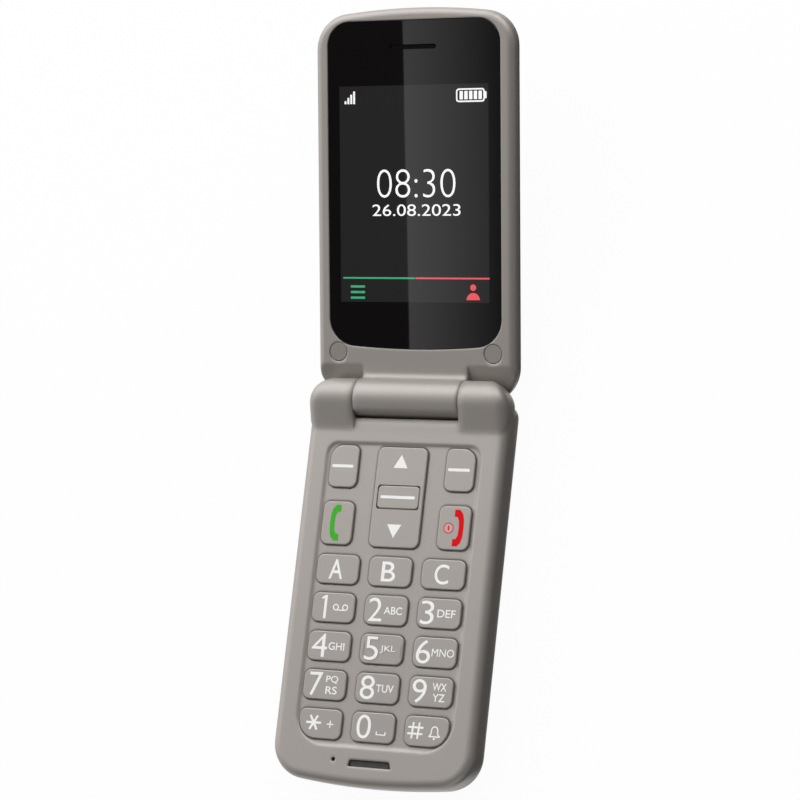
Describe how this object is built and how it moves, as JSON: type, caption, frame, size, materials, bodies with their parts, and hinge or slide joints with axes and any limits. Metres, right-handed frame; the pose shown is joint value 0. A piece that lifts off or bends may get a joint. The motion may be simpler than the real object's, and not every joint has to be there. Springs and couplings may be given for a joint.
{
  "type": "flip phone",
  "caption": "Clamshell mobile phone with large keys and a hinged display lid, lying open on its back; lid, keys, side rocker, back key and battery cover move.",
  "frame": {"origin": "middle of the base's flat back, where the phone rests", "axes": "+Z out of the keypad, +Y from the keypad towards the hinge and the open lid, +X to the right of a person who reads the keys"},
  "size_m": [0.058, 0.2049, 0.0361],
  "materials": {
    "satin_titanium_paint": "satin metallic paint on moulded ABS",
    "back_shell_paint": "satin metallic paint on moulded ABS, darker",
    "key_paint": "satin painted key caps",
    "black_window": "black gloss window",
    "display": "liquid crystal display",
    "battery_wrap": "printed film",
    "gold_contact": "gold plated",
    "circuit_board": "solder resist",
    "tinned_steel": "tinned sheet",
    "hard_steel": "hardened steel",
    "silicone": "silicone rubber",
    "polyimide_film": "amber film",
    "black_plastic": "moulded",
    "cap_rubber": "matte soft plug"
  },
  "bodies": {
    "base": {"front_housing": "satin_titanium_paint", "rear_housing": "back_shell_paint", "battery": "battery_wrap", "battery_contacts": "gold_contact", "main_board": "circuit_board", "shield_can": "tinned_steel", "sim_holder": "tinned_steel", "dome_sheet": "polyimide_film", "keypad_mat": "silicone", "microphone": "silicone", "loudspeaker": "black_plastic", "sound_mesh": "black_plastic", "usb_port": "tinned_steel", "charge_contacts": "gold_contact", "antenna": "black_plastic", "vibration_motor": "tinned_steel", "emergency_switch": "black_plastic", "housing_screws": "hard_steel", "hinge_shaft": "hard_steel", "hinge_bush": "black_plastic", "base_flex": "polyimide_film"},
    "lid": {"lid_inner_frame": "satin_titanium_paint", "lid_outer_cover": "back_shell_paint", "display_window": "black_window", "lcd_module": "display", "lcd_bracket": "tinned_steel", "lid_board": "circuit_board", "earpiece_speaker": "black_plastic", "earpiece_mesh": "tinned_steel", "screw_caps": "cap_rubber", "lid_screws": "hard_steel", "lid_magnet": "hard_steel", "hinge_cartridge": "hard_steel", "flex_cable": "polyimide_film", "camera_module": "black_plastic", "camera_window": "black_window"},
    "battery_cover": {"battery_cover": "back_shell_paint"},
    "nav_key": {"nav_key": "key_paint"},
    "emergency_key": {"emergency_key": "key_paint"},
    "volume_key": {"volume_key": "key_paint"},
    "soft_key_left": {"soft_key_left": "key_paint"},
    "soft_key_right": {"soft_key_right": "key_paint"},
    "call_key": {"call_key": "key_paint"},
    "end_key": {"end_key": "key_paint"},
    "ok_key": {"ok_key": "key_paint"},
    "key_a": {"key_a": "key_paint"},
    "key_b": {"key_b": "key_paint"},
    "key_c": {"key_c": "key_paint"},
    "key_0": {"key_0": "key_paint"},
    "key_1": {"key_1": "key_paint"},
    "key_2": {"key_2": "key_paint"},
    "key_3": {"key_3": "key_paint"},
    "key_4": {"key_4": "key_paint"},
    "key_5": {"key_5": "key_paint"},
    "key_6": {"key_6": "key_paint"},
    "key_7": {"key_7": "key_paint"},
    "key_8": {"key_8": "key_paint"},
    "key_9": {"key_9": "key_paint"},
    "key_star": {"key_star": "key_paint"},
    "key_hash": {"key_hash": "key_paint"}
  },
  "joints": [
    {"name": "lid_hinge", "type": "hinge", "parent": "base", "child": "lid", "pos_m": [0, 0.05175, 0.0095], "axis": [1, 0, 0], "range_deg": [0, 163.7]},
    {"name": "nav_key_rock", "type": "hinge", "parent": "base", "child": "nav_key", "pos_m": [0, 0.02475, 0.00915], "axis": [1, 0, 0], "range_deg": [-0.85, 0.85], "stiffness_Nm_per_rad": 0.6},
    {"name": "emergency_key_press", "type": "slide", "parent": "base", "child": "emergency_key", "axis": [0, 0, 1], "range_m": [0, 0.0004], "stiffness_N_per_m": 3000},
    {"name": "volume_key_rock", "type": "hinge", "parent": "base", "child": "volume_key", "pos_m": [-0.027, 0.02775, 0.0065], "axis": [0, 0, 1], "range_deg": [-1.8, 1.8], "stiffness_Nm_per_rad": 0.4},
    {"name": "battery_cover_slide", "type": "slide", "parent": "base", "child": "battery_cover", "axis": [0, -1, 0], "range_m": [0, 0.012]},
    {"name": "soft_key_left_press", "type": "slide", "parent": "base", "child": "soft_key_left", "axis": [0, 0, -1], "range_m": [0, 0.00035], "stiffness_N_per_m": 3000},
    {"name": "soft_key_right_press", "type": "slide", "parent": "base", "child": "soft_key_right", "axis": [0, 0, -1], "range_m": [0, 0.00035], "stiffness_N_per_m": 3000},
    {"name": "call_key_press", "type": "slide", "parent": "base", "child": "call_key", "axis": [0, 0, -1], "range_m": [0, 0.00035], "stiffness_N_per_m": 3000},
    {"name": "end_key_press", "type": "slide", "parent": "base", "child": "end_key", "axis": [0, 0, -1], "range_m": [0, 0.00035], "stiffness_N_per_m": 3000},
    {"name": "ok_key_press", "type": "slide", "parent": "base", "child": "ok_key", "axis": [0, 0, -1], "range_m": [0, 0.00035], "stiffness_N_per_m": 3000},
    {"name": "key_a_press", "type": "slide", "parent": "base", "child": "key_a", "axis": [0, 0, -1], "range_m": [0, 0.00035], "stiffness_N_per_m": 3000},
    {"name": "key_b_press", "type": "slide", "parent": "base", "child": "key_b", "axis": [0, 0, -1], "range_m": [0, 0.00035], "stiffness_N_per_m": 3000},
    {"name": "key_c_press", "type": "slide", "parent": "base", "child": "key_c", "axis": [0, 0, -1], "range_m": [0, 0.00035], "stiffness_N_per_m": 3000},
    {"name": "key_0_press", "type": "slide", "parent": "base", "child": "key_0", "axis": [0, 0, -1], "range_m": [0, 0.00035], "stiffness_N_per_m": 3000},
    {"name": "key_1_press", "type": "slide", "parent": "base", "child": "key_1", "axis": [0, 0, -1], "range_m": [0, 0.00035], "stiffness_N_per_m": 3000},
    {"name": "key_2_press", "type": "slide", "parent": "base", "child": "key_2", "axis": [0, 0, -1], "range_m": [0, 0.00035], "stiffness_N_per_m": 3000},
    {"name": "key_3_press", "type": "slide", "parent": "base", "child": "key_3", "axis": [0, 0, -1], "range_m": [0, 0.00035], "stiffness_N_per_m": 3000},
    {"name": "key_4_press", "type": "slide", "parent": "base", "child": "key_4", "axis": [0, 0, -1], "range_m": [0, 0.00035], "stiffness_N_per_m": 3000},
    {"name": "key_5_press", "type": "slide", "parent": "base", "child": "key_5", "axis": [0, 0, -1], "range_m": [0, 0.00035], "stiffness_N_per_m": 3000},
    {"name": "key_6_press", "type": "slide", "parent": "base", "child": "key_6", "axis": [0, 0, -1], "range_m": [0, 0.00035], "stiffness_N_per_m": 3000},
    {"name": "key_7_press", "type": "slide", "parent": "base", "child": "key_7", "axis": [0, 0, -1], "range_m": [0, 0.00035], "stiffness_N_per_m": 3000},
    {"name": "key_8_press", "type": "slide", "parent": "base", "child": "key_8", "axis": [0, 0, -1], "range_m": [0, 0.00035], "stiffness_N_per_m": 3000},
    {"name": "key_9_press", "type": "slide", "parent": "base", "child": "key_9", "axis": [0, 0, -1], "range_m": [0, 0.00035], "stiffness_N_per_m": 3000},
    {"name": "key_star_press", "type": "slide", "parent": "base", "child": "key_star", "axis": [0, 0, -1], "range_m": [0, 0.00035], "stiffness_N_per_m": 3000},
    {"name": "key_hash_press", "type": "slide", "parent": "base", "child": "key_hash", "axis": [0, 0, -1], "range_m": [0, 0.00035], "stiffness_N_per_m": 3000}
  ]
}
